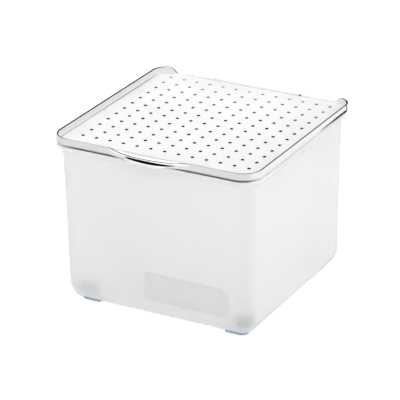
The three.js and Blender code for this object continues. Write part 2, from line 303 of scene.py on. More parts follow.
# underside of the base, with a shallow raised middle
add(wall_spec(BASE, 30.0), BASE + 0.9)
add(wall_spec(BASE, 27.5), BASE + 0.85)
add(wall_spec(BASE, 24.5), BASE + 0.1)
add(wall_spec(BASE, 23.0), BASE)
add(wall_spec(BASE, 10.2), BASE)
for dz, inset in [
    (0.08, 9.0), (0.3, 7.95), (0.75, 7.0), (1.35, 6.1), (2.1, 5.35), (2.9, 4.8),
    (4.2, 4.15), (5.6, 3.6), (7.2, 3.05), (8.1, 2.78), (8.4, 2.62), (8.55, 2.4), (8.72, 1.95), (8.95, 1.72),
    (9.4, 1.5), (10.6, 1.02), (12.0, 0.58), (13.6, 0.2), (15.4, 0.0), (18.0, 0.0),
]:
    add(wall_spec(BASE + dz, inset), BASE + dz)
for z in [*np.linspace(BASE + 40, H - 42, 6), H - 31, H - 25, H - 20.5, H - 16]:
    add(wall_spec(z, 0.0), z)
under = rim_spec(3.4)
top_wall = wall_spec(H - 10, 0.0)
for z, t in [(H - 11.6, 0.0), (H - 10.6, 0.03), (H - 9.7, 0.13), (H - 9.05, 0.32), (H - 8.65, 0.58), (H - 8.4, 0.85), (H - 8.25, 1.0)]:
    add(mix_spec(wall_spec(z, 0.0), under, t), z)
for z, inset in [
    (H - 8.05, 2.6), (H - 7.6, 1.75), (H - 7.05, 1.0), (H - 6.45, 0.45), (H - 5.8, 0.1), (H - 5.2, 0.0),
    (H - 4.2, 0.0), (H - 3.8, 0.07), (H - 3.35, 0.3), (H - 2.95, 0.75), (H - 2.7, 1.3), (H - 2.6, 2.0),
]:
    add(rim_spec(inset), z)
inner_top = wall_spec(H - 4, WALL)
add(mix_spec(rim_spec(2.0), wall_spec(H - 4, WALL - 0.9), 0.5), H - 2.6)
add(wall_spec(H - 2.6, WALL - 0.9), H - 2.6)
add(wall_spec(H - 2.75, WALL - 0.35), H - 2.75)
add(wall_spec(H - 3.1, WALL - 0.08), H - 3.1)
add(wall_spec(H - 3.8, WALL), H - 3.8)
for z in [H - 9, H - 16, *np.linspace(H - 40, BASE + 44, 6)]:
    add(wall_spec(z, WALL), z)
for dz, inset in [
    (18.5, 2.2), (17.0, 2.22), (15.0, 2.6), (13.2, 3.3), (11.6, 4.1), (9.8, 4.9), (8.2, 5.7), (6.6, 6.6),
    (5.3, 7.7), (4.3, 8.9), (3.55, 10.4), (3.15, 12.0), (3.0, 13.8), (3.0, 24.0),
]:
    add(wall_spec(BASE + dz, inset), BASE + dz)
add(wall_spec(BASE + 3.2, 26.5), BASE + 3.75)
add(wall_spec(BASE + 3.2, 30.0), BASE + 3.9)
tub = loft("bin_shell", rings)


def foot_outline(grow, n=10):
    leg, ro, ri, w = FOOT_LEG + grow, FOOT_R + grow, FOOT_R - FOOT_W + 4 - grow, FOOT_W + grow
    pts = []

    def arc(cx, cy, r, a0, a1, k):
        for i in range(k + 1):
            a = math.radians(a0 + (a1 - a0) * i / k)
            pts.append((cx + r * math.cos(a), cy + r * math.sin(a)))

    arc(-FOOT_R, FOOT_R, ro, -90, 0, n)
    arc(grow - 2.5, leg - 2.5, 2.5, 0, 90, 5)
    arc(-w + 2.5, leg - 2.5, 2.5, 90, 180, 5)
    arc(-w - ri, w + ri, ri, 0, -90, 6)
    arc(-leg + 2.5, w - 2.5, 2.5, 90, 180, 5)
    arc(-leg + 2.5, -grow + 2.5, 2.5, 180, 270, 5)
    return pts


def place_foot(pts, sx, sy):
    cy = FOOT_FRONT if sy < 0 else FOOT_REAR
    return [(sx * (FOOT_OUT + x), cy + (y if sy < 0 else -y)) for x, y in pts]


def foot_block(name, sx, sy, levels):
    return loft(name, [[(x, y, z) for x, y in place_foot(foot_outline(g), sx, sy)] for z, g in levels])


def label_frame():
    d = Vector((0, W_TOP["yf"] - W_LOW["yf"], W_TOP["z"] - W_LOW["z"])).normalized()
    n = Vector((1, 0, 0)).cross(d)
    return d, n


def label_outline(grow, seg=8):
    d, n = label_frame()
    x0, x1 = LABEL["x0"] - grow, LABEL["x1"] + grow
    v0 = (LABEL["z0"] - W_LOW["z"]) / d.z - grow
    v1 = (LABEL["z1"] - W_LOW["z"]) / d.z + grow
    rl, rr = LABEL["rl"] + grow, LABEL["rr"] + grow
    pts = []
    for cx, cy, r, a0 in [(x1 - rr, v0 + rr, rr, -90), (x1 - rr, v1 - rr, rr, 0), (x0 + rl, v1 - rl, rl, 90), (x0 + rl, v0 + rl, rl, 180)]:
        for k in range(seg + 1):
            a = math.radians(a0 + 90 * k / seg)
            pts.append((cx + r * math.cos(a), cy + r * math.sin(a)))
    return pts


def label_block(name, levels):
    d, n = label_frame()
    o = Vector((0, W_LOW["yf"], W_LOW["z"]))
    rings_ = []
    for depth, grow in levels:
        rings_.append([tuple(o + Vector((1, 0, 0)) * u + d * v + n * depth) for u, v in label_outline(grow)])
    return loft(name, rings_)


def lug(sign):
    a, b = (LUG_IN, LUG_OUT) if sign > 0 else (-LUG_OUT, -LUG_IN)
    cyl = rod("lug_barrel", a, b, HINGE_Y, HINGE_Z, BARREL_R, 40, 0.5)
    web = prism_x(
        "lug_web",
        [
            (REAR - 2, FLANGE_TOP - 4.6),
            (REAR + 0.6, FLANGE_TOP - 4.4),
            (HINGE_Y - 1.4, HINGE_Z - BARREL_R + 0.32),
            (HINGE_Y + 0.3, HINGE_Z - BARREL_R + 0.04),
            (HINGE_Y + 0.6, HINGE_Z + 1.0),
            (HINGE_Y - 1.8, HINGE_Z + 1.6),
            (REAR - 2, FLANGE_TOP - 1.0),
        ],
        a + 0.3,
        b - 0.3,
    )
    return [cyl, web]


def bore(sign, toward):
    """A blind bore for the hinge pin, from the joint face into the lug (toward 1) or the barrel (toward -1)."""
    a = sign * PIN_C
    b = sign * (PIN_C + toward * (PIN_HALF + 0.5))
    x0, x1 = min(a, b), max(a, b)
    return turned("bore", [(x0, PIN_R + 0.35), (x1, PIN_R + 0.35)], (0, HINGE_Y, HINGE_Z), "X", 24)


boolean(tub, lug(1) + lug(-1), "UNION")
cutters = [bore(1, 1), bore(-1, 1)]
for sx in (-1, 1):
    for sy in (-1, 1):
        cutters.append(foot_block("pocket", sx, sy, [(BASE - 2.0, 0.4), (BASE + 1.4, 0.4)]))
cutters.append(label_block("recess", [(-0.9, 0.0), (-0.82, 0.1), (-0.7, 0.13), (-0.12, 0.13), (-0.02, 0.18), (0.2, 0.35), (1.0, 0.4)]))
boolean(tub, [join(cutters, "tub_cutters")], "DIFFERENCE")
finish_mesh(tub, 28.0, (BASE, BASE + 3.0, BASE + 0.9, BASE + 3.9, FLANGE_TOP))
tub.name = "bin_shell"

# -------------------------------------------------------------------- the lid
lip_x = [x / (HALF - RF) for x in np.concatenate([np.linspace(-56, -46, 11), np.linspace(-44, 44, 45), np.linspace(46, 56, 11)])]
lid_front = sorted(set(straight(12)) | set(np.round(lip_x, 6)))
edge_x = np.linspace(103.5, HALF - RR, 10)
lid_rear = sorted(set(straight(10)) | set(np.round(edge_x / (HALF - RR), 6)) | set(np.round(-edge_x / (HALF - RR), 6)))
lid_outline = Outline([float(t) for t in lid_front], straight(14), [float(t) for t in lid_rear], max(ARC, 20))


def bow(x, out):
    t = min(1.0, abs(x) / LIP_HALF)
    return out * (1 - t**2.5) ** 1.15


def smooth(t):
    t = min(1.0, max(0.0, t))
    return t * t * (3 - 2 * t)


def border(x, y):
    """Share of the border's height that stands at a place: it runs out at the back."""
    if y < REAR - 14:
        return 1.0
    t = (abs(x) - 104.6) / 11.6
    t = min(1.0, max(0.0, t))
    return max(0.012, 0.5 * (t + smooth(t)))


def lid_ring(inset, z, out=0.0):
    pts = []
    for x, y in lid_outline.points(*rim_spec(inset)):
        zz = z * border(x, y) if z > 0 else z
        yy = y - bow(x, out) if (out and y < FRONT + 12 and abs(x) < LIP_HALF) else y
        pts.append((x, yy, H + zz))
    return pts


def rib_spec(gap):
    s = wall_spec(H - 5, WALL + gap)
    return s


rings = []
rings.append(ring(lid_outline, rib_spec(6.0), H - LID_PLATE))
rings.append(ring(lid_outline, rib_spec(3.6), H - LID_PLATE))
rings.append(ring(lid_outline, rib_spec(3.1), H - LID_PLATE - 0.15))
rings.append(ring(lid_outline, rib_spec(2.85), H - LID_PLATE - 0.55))
rings.append(ring(lid_outline, rib_spec(2.8), H - LID_PLATE - 4.3))
rings.append(ring(lid_outline, rib_spec(2.65), H - LID_PLATE - 4.75))
rings.append(ring(lid_outline, rib_spec(2.3), H - LID_PLATE - 5.0))
rings.append(ring(lid_outline, rib_spec(1.9), H - LID_PLATE - 5.0))
rings.append(ring(lid_outline, rib_spec(1.5), H - LID_PLATE - 4.7))
rings.append(ring(lid_outline, rib_spec(1.25), H - LID_PLATE - 4.0))
rings.append(ring(lid_outline, rib_spec(1.2), H - LID_PLATE - 0.5))
rings.append(ring(lid_outline, rib_spec(0.95), H - LID_PLATE - 0.12))
rings.append(ring(lid_outline, rib_spec(0.5), H - LID_PLATE))
I0 = LID_INSET
for inset, z in [(2.3, -2.2), (1.55, -2.12), (1.0, -1.9), (0.55, -1.5), (0.2, -1.0), (0.03, -0.5), (0.0, 0.0)]:
    rings.append(lid_ring(I0 + inset, z))
OUT = LIP_OUT + LID_INSET
for inset, z, k in [
    (0.0, 0.7, 0.0), (0.0, 1.4, 0.0), (0.0, 1.7, 0.012), (0.0, 1.84, 0.035), (0.0, 1.9, 0.07),
    (0.0, 1.92, 0.4), (0.0, 1.94, 0.82), (0.0, 2.0, 0.93), (0.0, 2.2, 0.97), (0.0, 2.55, 0.99), (0.0, 3.0, 1.0),
    (0.0, 5.0, 1.0), (0.0, 7.2, 1.0), (0.04, 7.7, 1.0), (0.18, 8.1, 1.0), (0.45, 8.38, 1.0), (0.85, 8.5, 1.0),
]:
    rings.append(lid_ring(I0 + inset, z, OUT * k))
for inset, z, k in [
    (1.72, 8.5, 0.985), (1.95, 8.5, 0.99), (2.3, 8.5, 1.0), (2.7, 8.42, 1.0), (3.0, 8.24, 1.0), (3.12, 8.08, 0.995),
    (3.18, 7.98, 0.97), (3.22, 7.9, 0.93), (3.25, 7.84, 0.86), (3.27, 7.8, 0.5), (3.29, 7.76, 0.2), (3.31, 7.72, 0.12),
    (3.33, 7.64, 0.06), (3.35, 7.52, 0.03), (3.37, 7.35, 0.01), (3.38, 7.15, 0.0), (3.4, 6.4, 0.0), (3.45, 5.0, 0.0),
    (3.55, 3.9, 0.0), (3.72, 3.2, 0.0), (3.9, 2.6, 0.0), (4.15, 1.7, 0.0),
    (4.4, 1.1, 0.0), (4.8, 0.55, 0.0), (5.35, 0.18, 0.0), (6.1, 0.02, 0.0),
]:
    rings.append(lid_ring(inset, z, LIP_IN * k))
rings.append([(x, y, H) for x, y in lid_outline.points(*rim_spec(7.2))])
lid = loft("lid_shell", rings)

barrel = rod("barrel", -BARREL_HALF, BARREL_HALF, HINGE_Y, HINGE_Z, BARREL_R, 40, 0.5)
web = prism_x(
    "barrel_web",
    [
        (REAR - 3, H - LID_PLATE + 0.1),
        (HINGE_Y - 2.6, H - LID_PLATE + 0.1),
        (HINGE_Y - 2.4, HINGE_Z + 1),
        (HINGE_Y + 1.2, HINGE_Z + 1),
        (HINGE_Y + 1.55, H - 1.9),
        (HINGE_Y + 1.2, H - 1.35),
        (HINGE_Y + 0.3, H - 0.85),
        (HINGE_Y - 1.0, H - 0.5),
        (HINGE_Y - 2.4, H - 0.33),
        (REAR - 3, H - 0.3),
    ],
    -BARREL_HALF + 0.4,
    BARREL_HALF - 0.4,
)
dome_profile = [(-0.4, 2.3), (0.0, 2.25), (0.03, 2.12), (0.16, 1.98), (0.34, 1.84), (0.5, 1.6), (0.62, 1.25), (0.68, 0.8), (0.7, 0.35)]
dots = []
for i in range(DOT_NX):
    for j in range(DOT_NY):
        x = (i - (DOT_NX - 1) / 2) * DOT_PX
        y = (j - (DOT_NY - 1) / 2) * DOT_PY + CY
        dots.append(turned("dot", dome_profile, (x, y, H), "Z", 14))
dots = join(dots, "dots")
boolean(lid, [barrel, web, dots], "UNION")
boolean(lid, [bore(1, -1), bore(-1, -1)], "DIFFERENCE")
finish_mesh(lid, 32.0, (H, H - LID_PLATE))
lid.name = "lid_shell"

# ------------------------------------------------------- label, feet and pins
label = label_block("label_film", [(-0.56, -0.12), (-0.52, -0.03), (-0.45, 0.0), (-0.15, 0.0), (-0.08, -0.04), (-0.05, -0.14)])
finish_mesh(label, 40.0)

feet = []
top = BASE + 1.05
for sx in (-1, 1):
    for sy in (-1, 1):
        name = "pad_" + ("front" if sy < 0 else "rear") + ("_left" if sx < 0 else "_right")
        levels = [
            (0.55, -3.1), (0.5, -2.9), (0.0, -2.5), (0.0, -0.8), (0.07, -0.45), (0.24, -0.2), (0.5, -0.06), (0.9, 0.0),
            (top - 0.5, 0.0), (top - 0.15, -0.1), (top, -0.4),
        ]
        pad = foot_block(name, sx, sy, levels)
        finish_mesh(pad, 35.0, (0.55,))
        feet.append((pad, "foot_" + name[4:]))

pins = []
for sx in (-1, 1):
    L = PIN_HALF
    prof = [(-L, 0.7), (-L + 0.12, 1.1), (-L + 0.35, 1.34), (-L + 0.6, PIN_R), (L - 0.6, PIN_R), (L - 0.35, 1.34), (L - 0.12, 1.1), (L, 0.7)]
    pin = turned("pin_left" if sx < 0 else "pin_right", prof, (sx * PIN_C, HINGE_Y, HINGE_Z), "X", 28)
    finish_mesh(pin, 35.0)
    pins.append((pin, "hinge_" + pin.name))


# ------------------------------------------------------------------ materials
class Nodes:
    def __init__(self, name):
        self.mat = bpy.data.materials.new(name)
        self.mat.use_nodes = True
        self.t = self.mat.node_tree
        self.t.nodes.clear()
        self.out = self.t.nodes.new("ShaderNodeOutputMaterial")

    def node(self, kind, **kw):
        n = self.t.nodes.new(kind)
        for k, v in kw.items():
            setattr(n, k, v)
        return n

    def link(self, a, b):
        self.t.links.new(a, b)

    def put(self, socket, value):
        if isinstance(value, bpy.types.NodeSocket):
            self.link(value, socket)
        else:
            socket.default_value = value

    def math(self, op, a, b=None, c=None, clamp=False):
        n = self.node("ShaderNodeMath", operation=op)
        n.use_clamp = clamp
        self.put(n.inputs[0], a)
        if b is not None:
            self.put(n.inputs[1], b)
        if c is not None:
            self.put(n.inputs[2], c)
        return n.outputs[0]

    def ramp(self, value, lo, hi, a=0.0, b=1.0, kind="SMOOTHSTEP"):
        n = self.node("ShaderNodeMapRange", interpolation_type=kind)
        self.put(n.inputs["Value"], value)
        self.put(n.inputs["From Min"], lo)
        self.put(n.inputs["From Max"], hi)
        self.put(n.inputs["To Min"], a)
        self.put(n.inputs["To Max"], b)
        return n.outputs["Result"]

    def coord(self):
        return self.node("ShaderNodeTexCoord").outputs["Object"]

    def split(self, vec):
        n = self.node("ShaderNodeSeparateXYZ")
        self.link(vec, n.inputs[0])
        return n.outputs

    def noise(self, vec, scale, detail=3.0, rough=0.5, stretch=None):
        if stretch:
            m = self.node("ShaderNodeMapping")
            m.inputs["Scale"].default_value = stretch
            self.link(vec, m.inputs["Vector"])
            vec = m.outputs["Vector"]
        n = self.node("ShaderNodeTexNoise")
        self.link(vec, n.inputs["Vector"])
        n.inputs["Scale"].default_value = scale
        n.inputs["Detail"].default_value = detail
        n.inputs["Roughness"].default_value = rough
        return n.outputs["Fac"]

    def bump(self, height, distance, strength=1.0, normal=None):
        n = self.node("ShaderNodeBump")
        n.inputs["Strength"].default_value = strength
        n.inputs["Distance"].default_value = distance
        self.link(height, n.inputs["Height"])
        if normal is not None:
            self.link(normal, n.inputs["Normal"])
        return n.outputs["Normal"]

    def colour(self, fac, a, b):
        n = self.node("ShaderNodeMix", data_type="RGBA")
        self.put(n.inputs["Factor"], fac)
        self.put(n.inputs["A"], (*a, 1.0) if isinstance(a, tuple) and len(a) == 3 else a)
        self.put(n.inputs["B"], (*b, 1.0) if isinstance(b, tuple) and len(b) == 3 else b)
        return n.outputs["Result"]

    def mix(self, fac, a, b):
        n = self.node("ShaderNodeMixShader")
        self.put(n.inputs["Fac"], fac)
        self.link(a, n.inputs[1])
        self.link(b, n.inputs[2])
        return n.outputs[0]

    def principled(self, **kw):
        n = self.node("ShaderNodeBsdfPrincipled")
        for k, v in kw.items():
            self.put(n.inputs[k.replace("_", " ")], v)
        return n.outputs[0]


def frosted_plastic():
    m = Nodes("frosted_plastic")
    p = m.coord()
    x, y, z = m.split(p)
    cloud = m.noise(p, 14.0, 2.0, 0.5)
    flow = m.noise(p, 9.0, 3.0, 0.55, (1.0, 1.0, 0.35))
    frost = m.noise(p, 1500.0, 3.0, 0.6)
    peel = m.noise(p, 160.0, 2.0, 0.5)
    scuff = m.noise(p, 420.0, 4.0, 0.75, (0.25, 1.0, 1.0))
    low = m.ramp(z, 0.004, 0.016, 1.0, 0.0)
    marks = m.math("MULTIPLY", m.ramp(scuff, 0.62, 0.7), low)
    rough = m.ramp(m.math("ADD", m.math("MULTIPLY", cloud, 0.6), m.math("MULTIPLY", peel, 0.4)), 0.3, 0.7, 0.44, 0.58, "LINEAR")
    rough = m.math("ADD", rough, m.math("MULTIPLY", marks, 0.15))
    n1 = m.bump(frost, 0.00004, 0.35)
    n2 = m.bump(peel, 0.00012, 0.25, n1)
    tint = m.colour(m.ramp(flow, 0.35, 0.65), (0.914, 0.913, 0.912), (0.932, 0.931, 0.93))
    # painted shade from the tub's vertex values, darkening the tint
    painted_tub_shade = m.node("ShaderNodeAttribute", attribute_name="painted_tub_shade").outputs["Fac"]
    # soft shade above each foot, where the floor's rounded corner turns up into the walls
    ay = m.math("ABSOLUTE", m.math("SUBTRACT", y, (CY - 10.4) * MM))
    turn = m.math("MULTIPLY", m.ramp(x, -0.084, -0.07, 0.75, 0.0), m.ramp(x, -0.11, -0.096, 0.1, 1.0))
    turn = m.math("MAXIMUM", turn, m.ramp(x, 0.094, 0.112))
    turn = m.math("MULTIPLY", turn, m.ramp(ay, 0.1, 0.116))
    rise = m.math("MULTIPLY", m.ramp(z, (BASE + 9.5) * MM, (BASE + 12.5) * MM, 0.35, 1.0), m.ramp(z, (BASE + 17.0) * MM, (BASE + 34.0) * MM, 1.0, 0.0))
    painted_tub_shade = m.math("MULTIPLY_ADD", m.math("MULTIPLY", turn, rise), 0.52, painted_tub_shade, clamp=True)
    # painted light line along the fine step near the foot of the wall
    step = m.math("MULTIPLY", m.ramp(z, (BASE + 7.6) * MM, (BASE + 8.3) * MM), m.ramp(z, (BASE + 8.9) * MM, (BASE + 9.6) * MM, 1.0, 0.0))
    painted_tub_shade = m.math("MULTIPLY", painted_tub_shade, m.math("MULTIPLY_ADD", step, -0.9, 1.0))
    tint = m.colour(painted_tub_shade, tint, (0.6, 0.601, 0.603))
    body = m.principled(Base_Color=tint, Roughness=rough, IOR=1.49, Transmission_Weight=0.9, Normal=n2)
    tr = m.node("ShaderNodeBsdfTranslucent")
    m.link(tint, tr.inputs["Color"])
    m.link(n2, tr.inputs["Normal"])
    df = m.node("ShaderNodeBsdfDiffuse")
    m.link(tint, df.inputs["Color"])
    m.link(n2, df.inputs["Normal"])
    milk = m.mix(0.5, tr.outputs[0], df.outputs[0])
    m.link(m.mix(0.34, body, milk), m.out.inputs["Surface"])
    return m.mat


def clear_plastic():
    m = Nodes("clear_plastic")
    p = m.coord()
    x, y, z = m.split(p)
    x = m.math("MULTIPLY", x, 1000.0)
    y = m.math("MULTIPLY", y, 1000.0)
    z = m.math("MULTIPLY_ADD", z, 1000.0, -H)
    peel = m.noise(p, 60.0, 2.0, 0.5)
    haze = m.noise(p, 24.0, 3.0, 0.6)
    attr = lambda name: m.node("ShaderNodeAttribute", attribute_name=name).outputs["Fac"]
    painted_dark_lines, shade, milk, under, outer, pull = (attr(k) for k in ("edge_line", "shade", "milk", "under", "outer", "pull"))
    # painted shade seen only from the underside: the panel, its rib and its rounded outer edge are darkened a little
    # so they stand out
    turned_to = m.node("ShaderNodeVectorTransform", vector_type="VECTOR", convert_from="WORLD", convert_to="OBJECT")
    m.link(m.node("ShaderNodeNewGeometry").outputs["Incoming"], turned_to.inputs[0])
    seen = m.node("ShaderNodeLightPath").outputs["Is Camera Ray"]
    below = m.math("MULTIPLY", m.ramp(m.split(turned_to.outputs[0])[2], -0.15, -0.02, 1.0, 0.0), seen)
    rib = m.math("MULTIPLY_ADD", m.math("MAXIMUM", m.ramp(z, -3.4, -2.4, 1.0, 0.0), m.ramp(y, FRONT - 2.0, FRONT, 1.0, 0.0)), 0.3, 0.1)
    shade = m.math("MULTIPLY_ADD", below, rib, shade, clamp=True)
    # painted highlight along the top and bottom edges of the pull's lip, with a painted dark crescent between them
    t = m.math("ABSOLUTE", m.math("MULTIPLY_ADD", x, 1 / 30.0, -7.0 / 30.0))
    pale = m.math("MULTIPLY", m.ramp(z, 3.6, 4.3, 1.0, 0.0), m.ramp(t, 0.75, 1.05, 1.0, 0.0))
    pale = m.math("MULTIPLY", m.math("MAXIMUM", pale, m.ramp(z, 6.7, 7.4)), m.math("MULTIPLY", pull, m.math("SUBTRACT", 1.0, below)))
    shade = m.math("MULTIPLY", shade, m.math("SUBTRACT", 1.0, pale))
    milk = m.math("MAXIMUM", milk, m.math("MULTIPLY", pale, 0.9))
    rough = m.ramp(haze, 0.3, 0.7, 0.05, 0.1, "LINEAR")
    n1 = m.bump(peel, 0.0001, 0.08)
    clear_tint = m.colour(m.ramp(haze, 0.3, 0.7), (0.978, 0.979, 0.98), (0.988, 0.989, 0.989))
    tint = m.colour(shade, clear_tint, (0.4, 0.402, 0.405))
    glass = m.principled(Base_Color=tint, Roughness=rough, IOR=1.25, Transmission_Weight=1.0, Normal=n1)
    thin = m.node("ShaderNodeBsdfTransparent")
    m.link(tint, thin.inputs["Color"])
    body = m.mix(0.12, thin.outputs[0], glass)
    gloss = m.node("ShaderNodeBsdfGlossy")
    m.put(gloss.inputs["Roughness"], rough)
    m.link(n1, gloss.inputs["Normal"])
    fres = m.node("ShaderNodeFresnel")
    fres.inputs["IOR"].default_value = 1.34
    m.link(n1, fres.inputs["Normal"])
    body = m.mix(m.math("MULTIPLY", fres.outputs[0], 0.6), body, gloss.outputs[0])
    # the panel and the border are moulded with a fine matt grain, so they scatter the light
    white = m.colour(m.ramp(haze, 0.3, 0.7), (0.955, 0.956, 0.957), (0.975, 0.976, 0.977))
    white = m.colour(shade, white, (0.3, 0.302, 0.305))
    tr = m.node("ShaderNodeBsdfTranslucent")
    m.link(white, tr.inputs["Color"])
    df = m.node("ShaderNodeBsdfDiffuse")
    m.link(white, df.inputs["Color"])
    grain = m.bump(m.noise(p, 1300.0, 2.0, 0.6), 0.00004, 0.3)
    m.link(grain, df.inputs["Normal"])
    soft = m.mix(0.5, tr.outputs[0], df.outputs[0])
    body = m.mix(milk, body, soft)
    # painted dark edge lines and dots, standing in for the light that steep or heavy plastic turns away
    painted_dark_bsdf = m.node("ShaderNodeBsdfDiffuse")
    painted_dark_bsdf.inputs["Color"].default_value = (0.004, 0.004, 0.005, 1.0)
    dark = painted_dark_bsdf.outputs[0]
    inside = m.node("ShaderNodeNewGeometry").outputs["Backfacing"]
    facing = m.math("SUBTRACT", 1.0, inside)

    def band(v, lo, hi, soft_):
        return m.math("MULTIPLY", m.ramp(v, lo - soft_, lo + soft_), m.ramp(v, hi - soft_, hi + soft_, 1.0, 0.0))

    # painted shade along the lower edge of the border, darkest along the front and faint round the sides
    along = m.math("MULTIPLY", m.ramp(x, -121.0, -96.0, 0.12, 0.86), m.ramp(y, FRONT + 2.0, FRONT + 22.0, 1.0, 0.0))
    along = m.math("MAXIMUM", along, 0.13)
    low = m.math("MULTIPLY", band(z, -2.2, 0.75, 1.1), m.math("MULTIPLY", along, outer))
    # seen from below, a painted dark outline along the rounded outer edge and along the pull's lower edge
    low = m.math("MAXIMUM", low, m.math("MULTIPLY", m.math("MULTIPLY", below, outer), m.math("MULTIPLY", band(z, -1.9, -0.4, 0.4), 0.45)))
    low = m.math("MAXIMUM", low, m.math("MULTIPLY", m.math("MULTIPLY", below, pull), m.math("MULTIPLY", band(z, 1.9, 3.4, 0.4), 0.45)))
    # painted dark line where the outer wall steps, towards the rear of the right side
    rear = m.math("MULTIPLY", m.ramp(y, CY + 22.0, CY + 40.0), m.ramp(y, CY + 97.9, CY + 99.3, 1.0, 0.0))
    strong = m.ramp(y, CY + 30.0, CY + 75.0)
    step = m.math("MULTIPLY", m.math("MAXIMUM", band(z, 1.2, 2.5, 0.3), m.math("MULTIPLY", band(z, 0.6, 3.3, 0.3), strong)), rear)
    post = m.math("MULTIPLY", band(y, CY + 96.9, CY + 98.9, 0.3), m.ramp(z, 1.3, 1.9, 0.0, 0.9))
    side = m.math("MULTIPLY", m.math("MAXIMUM", step, post), m.math("MULTIPLY", m.ramp(x, 122.0, 124.0), outer))
    # painted shade: the dark crescent low on the outer face of the finger pull, under its lip
    bottom = m.math("MULTIPLY_ADD", m.math("POWER", t, 2.0), 1.8, 3.6)
    rise = m.math("MAXIMUM", m.math("ADD", x, 10.0), 0.0)
    top = m.math("MULTIPLY_ADD", m.math("MULTIPLY", rise, rise), -0.0006, 7.45)
    cres = m.math("MULTIPLY", m.ramp(m.math("SUBTRACT", z, bottom), -0.2, 0.2), m.ramp(m.math("SUBTRACT", z, top), -0.2, 0.2, 1.0, 0.0))
    cres = m.math("MULTIPLY", cres, m.math("MULTIPLY", pull, m.ramp(t, 0.95, 1.08, 1.0, 0.0)))
    # either side of it the painted shade of the border's lower edge runs on across the pull
    ax = m.math("ABSOLUTE", x)
    off = m.math("ABSOLUTE", m.math("SUBTRACT", z, m.math("MULTIPLY_ADD", ax, -0.09, 5.56)))
    run = m.math("MULTIPLY", m.ramp(off, 0.45, 1.0, 0.55, 0.0), m.math("MULTIPLY", pull, m.ramp(ax, 23.0, 29.0)))
    cres = m.math("MAXIMUM", cres, run)
    lines = m.math("MAXIMUM", m.math("MAXIMUM", painted_dark_lines, low), m.math("MAXIMUM", side, cres))
    # painted shade at each end of the barrel, in the gap to the lug
    joint = m.math("MULTIPLY", m.ramp(m.math("ABSOLUTE", x), BARREL_HALF - 1.1, BARREL_HALF - 0.8), m.ramp(y, REAR + 1.0, REAR + 1.4, 0.0, 0.95))
    lines = m.math("MAXIMUM", lines, joint)
    lines = m.math("MULTIPLY", lines, m.math("MULTIPLY", facing, seen))
    # painted dark on faces seen from inside the plastic, under the domes and the pull
    lines = m.math("MAXIMUM", lines, m.math("MULTIPLY", under, m.math("MULTIPLY", inside, seen)), clamp=True)
    m.link(m.mix(lines, body, dark), m.out.inputs["Surface"])
    return m.mat


def foot_elastomer():
    m = Nodes("foot_elastomer")
    p = m.coord()
    x, y, z = m.split(p)
    grain = m.noise(p, 2200.0, 3.0, 0.6)
    cloud = m.noise(p, 90.0, 3.0, 0.6)
    wear = m.ramp(z, 0.0, 0.0014, 1.0, 0.0)
    base = m.colour(m.ramp(cloud, 0.3, 0.7), (0.2, 0.29, 0.41), (0.255, 0.35, 0.47))
    base = m.colour(m.math("MULTIPLY", wear, 0.35), base, (0.36, 0.42, 0.48))
    rough = m.ramp(cloud, 0.3, 0.7, 0.5, 0.68, "LINEAR")
    n1 = m.bump(grain, 0.00006, 0.5)
    s = m.principled(Base_Color=base, Roughness=rough, IOR=1.47, Normal=n1, Sheen_Weight=0.15)
    m.link(s, m.out.inputs["Surface"])
    return m.mat


def label_film():
    m = Nodes("label_film")
    p = m.coord()
    grain = m.noise(p, 1800.0, 2.0, 0.6)
    cloud = m.noise(p, 40.0, 3.0, 0.6)
    base = m.colour(m.ramp(cloud, 0.3, 0.7), (0.745, 0.745, 0.747), (0.775, 0.775, 0.777))
    rough = m.ramp(grain, 0.3, 0.7, 0.42, 0.6, "LINEAR")
    n1 = m.bump(grain, 0.00003, 0.4)
    s = m.principled(Base_Color=base, Roughness=rough, IOR=1.45, Normal=n1)
    tr = m.node("ShaderNodeBsdfTranslucent")
    m.link(base, tr.inputs["Color"])
    m.link(m.mix(0.35, s, tr.outputs[0]), m.out.inputs["Surface"])
    return m.mat


def pin_steel():
    m = Nodes("pin_steel")
    p = m.coord()
    draw = m.noise(p, 900.0, 4.0, 0.7, (0.04, 1.0, 1.0))
    spots = m.noise(p, 500.0, 3.0, 0.6)
    base = m.colour(m.ramp(spots, 0.4, 0.7), (0.56, 0.57, 0.58), (0.66, 0.665, 0.67))
    rough = m.ramp(draw, 0.3, 0.7, 0.22, 0.42, "LINEAR")
    n1 = m.bump(draw, 0.00002, 0.6)
    s = m.principled(Base_Color=base, Metallic=1.0, Roughness=rough, Normal=n1)
    m.link(s, m.out.inputs["Surface"])
    return m.mat


def floor_material():
    m = Nodes("pale_floor")
    p = m.coord()
    cloud = m.noise(p, 3.0, 2.0, 0.5)
    base = m.colour(cloud, (0.93, 0.93, 0.93), (0.94, 0.94, 0.94))
    half = m.colour(cloud, (0.52, 0.52, 0.52), (0.53, 0.53, 0.53))
    d = m.node("ShaderNodeBsdfDiffuse")
    m.link(half, d.inputs["Color"])
    glow = m.node("ShaderNodeEmission")
    glow.inputs["Strength"].default_value = 0.7
    m.link(base, glow.inputs["Color"])
    m.put(glow.inputs["Strength"], m.ramp(m.node("ShaderNodeLightPath").outputs["Is Camera Ray"], 0.0, 1.0, 0.65, 0.7, "LINEAR"))
    add = m.node("ShaderNodeAddShader")
    m.link(d.outputs[0], add.inputs[0])
    m.link(glow.outputs[0], add.inputs[1])
    m.link(add.outputs[0], m.out.inputs["Surface"])
    return m.mat


def paint(ob, mat):
    ob.data.materials.clear()
    ob.data.materials.append(mat)
    for poly in ob.data.polygons:
        poly.material_index = 0


